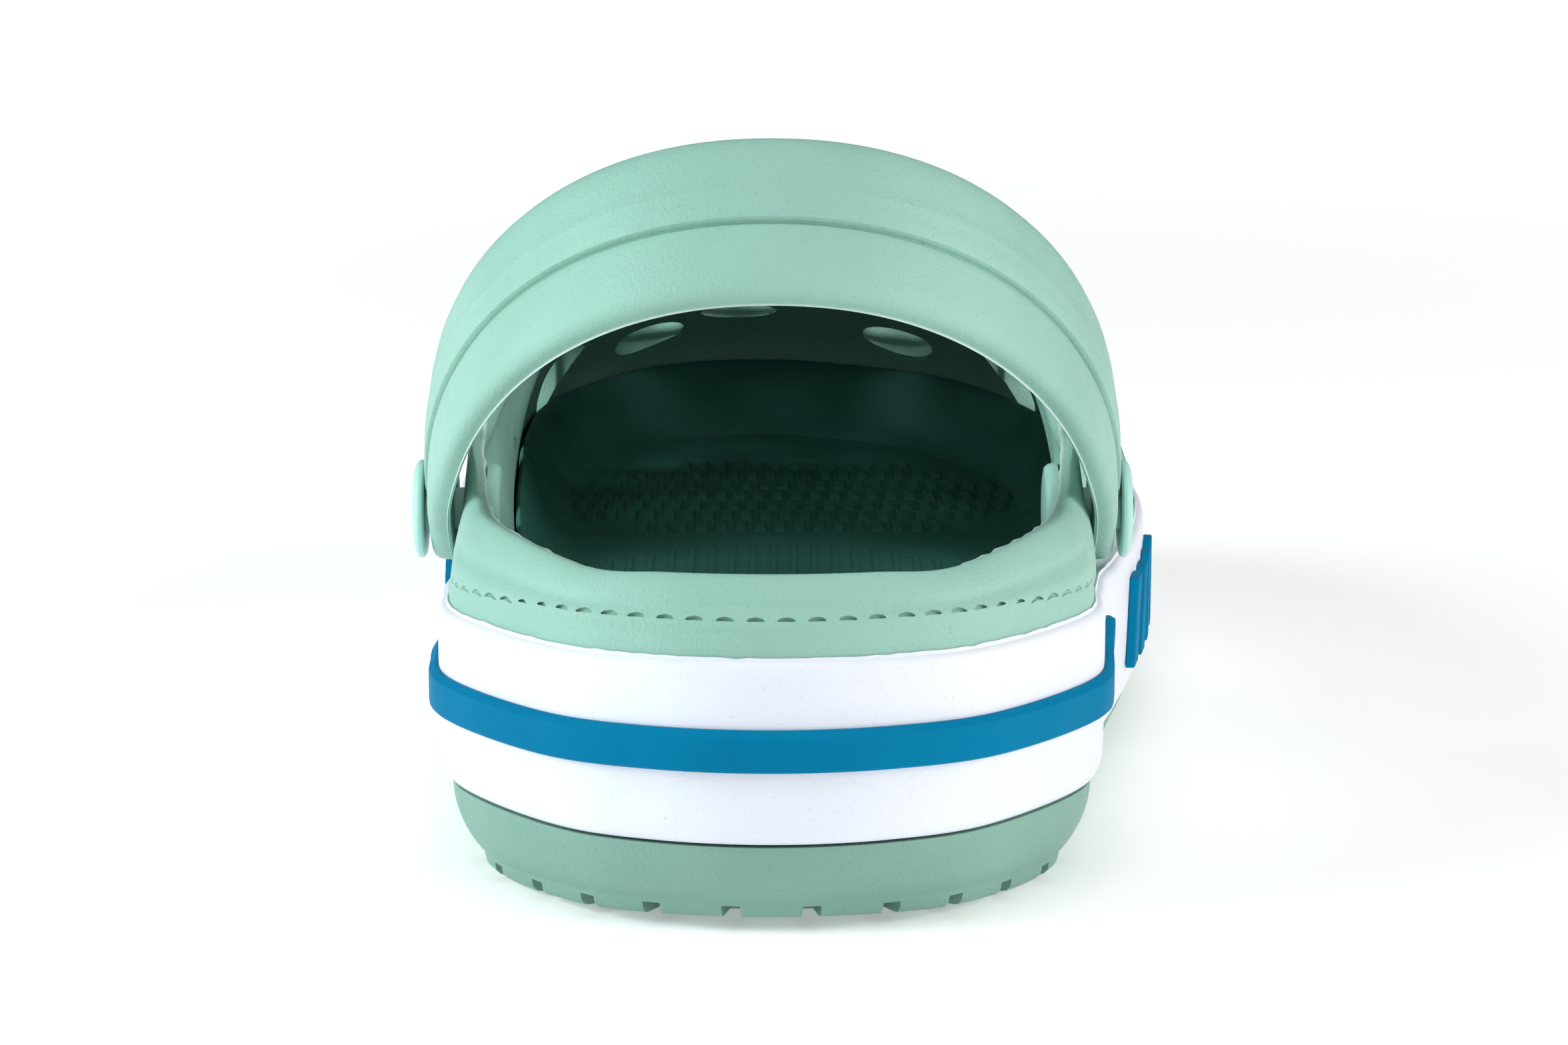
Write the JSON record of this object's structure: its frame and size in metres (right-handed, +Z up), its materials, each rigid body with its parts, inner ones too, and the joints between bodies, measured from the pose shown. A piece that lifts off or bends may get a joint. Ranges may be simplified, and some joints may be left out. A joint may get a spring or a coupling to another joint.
{
  "type": "garden clog",
  "caption": "Moulded foam garden clog for the right foot, with vented toe box, banded midsole, drop-in footbed and a heel strap that swings on side rivets.",
  "frame": {"origin": "on the ground under the centre of the outline box of the whole clog, strap as stored", "axes": "+Y towards the toe, +X towards the outer side of a right foot, +Z up"},
  "size_m": [0.1118, 0.2534, 0.0996],
  "materials": {
    "green_foam": "matte sage green moulded foam with a fine pebble grain",
    "white_band": "satin white moulded rubber",
    "blue_trim": "matte teal blue rubber",
    "footbed_foam": "dark teal foam with a nubbed top",
    "rivet_plastic": "satin sage green plastic"
  },
  "bodies": {
    "shoe": {"outsole": "green_foam", "midsole_band": "white_band", "upper": "green_foam", "footbed": "footbed_foam", "heel_stripe": "blue_trim", "toe_stripe": "blue_trim", "outer_bar_1": "blue_trim", "inner_bar_1": "blue_trim", "outer_bar_2": "blue_trim", "inner_bar_2": "blue_trim", "outer_bar_3": "blue_trim", "inner_bar_3": "blue_trim", "outer_bar_4": "blue_trim", "inner_bar_4": "blue_trim", "outer_rivet_button": "rivet_plastic", "outer_rivet_cap": "rivet_plastic", "inner_rivet_button": "rivet_plastic", "inner_rivet_cap": "rivet_plastic"},
    "strap": {"heel_strap": "green_foam"}
  },
  "joints": [
    {"name": "strap_pivot", "type": "hinge", "parent": "shoe", "child": "strap", "pos_m": [-0.00355, -0.03967, 0.04], "axis": [1, 0, 0], "range_deg": [-100, 11]}
  ]
}
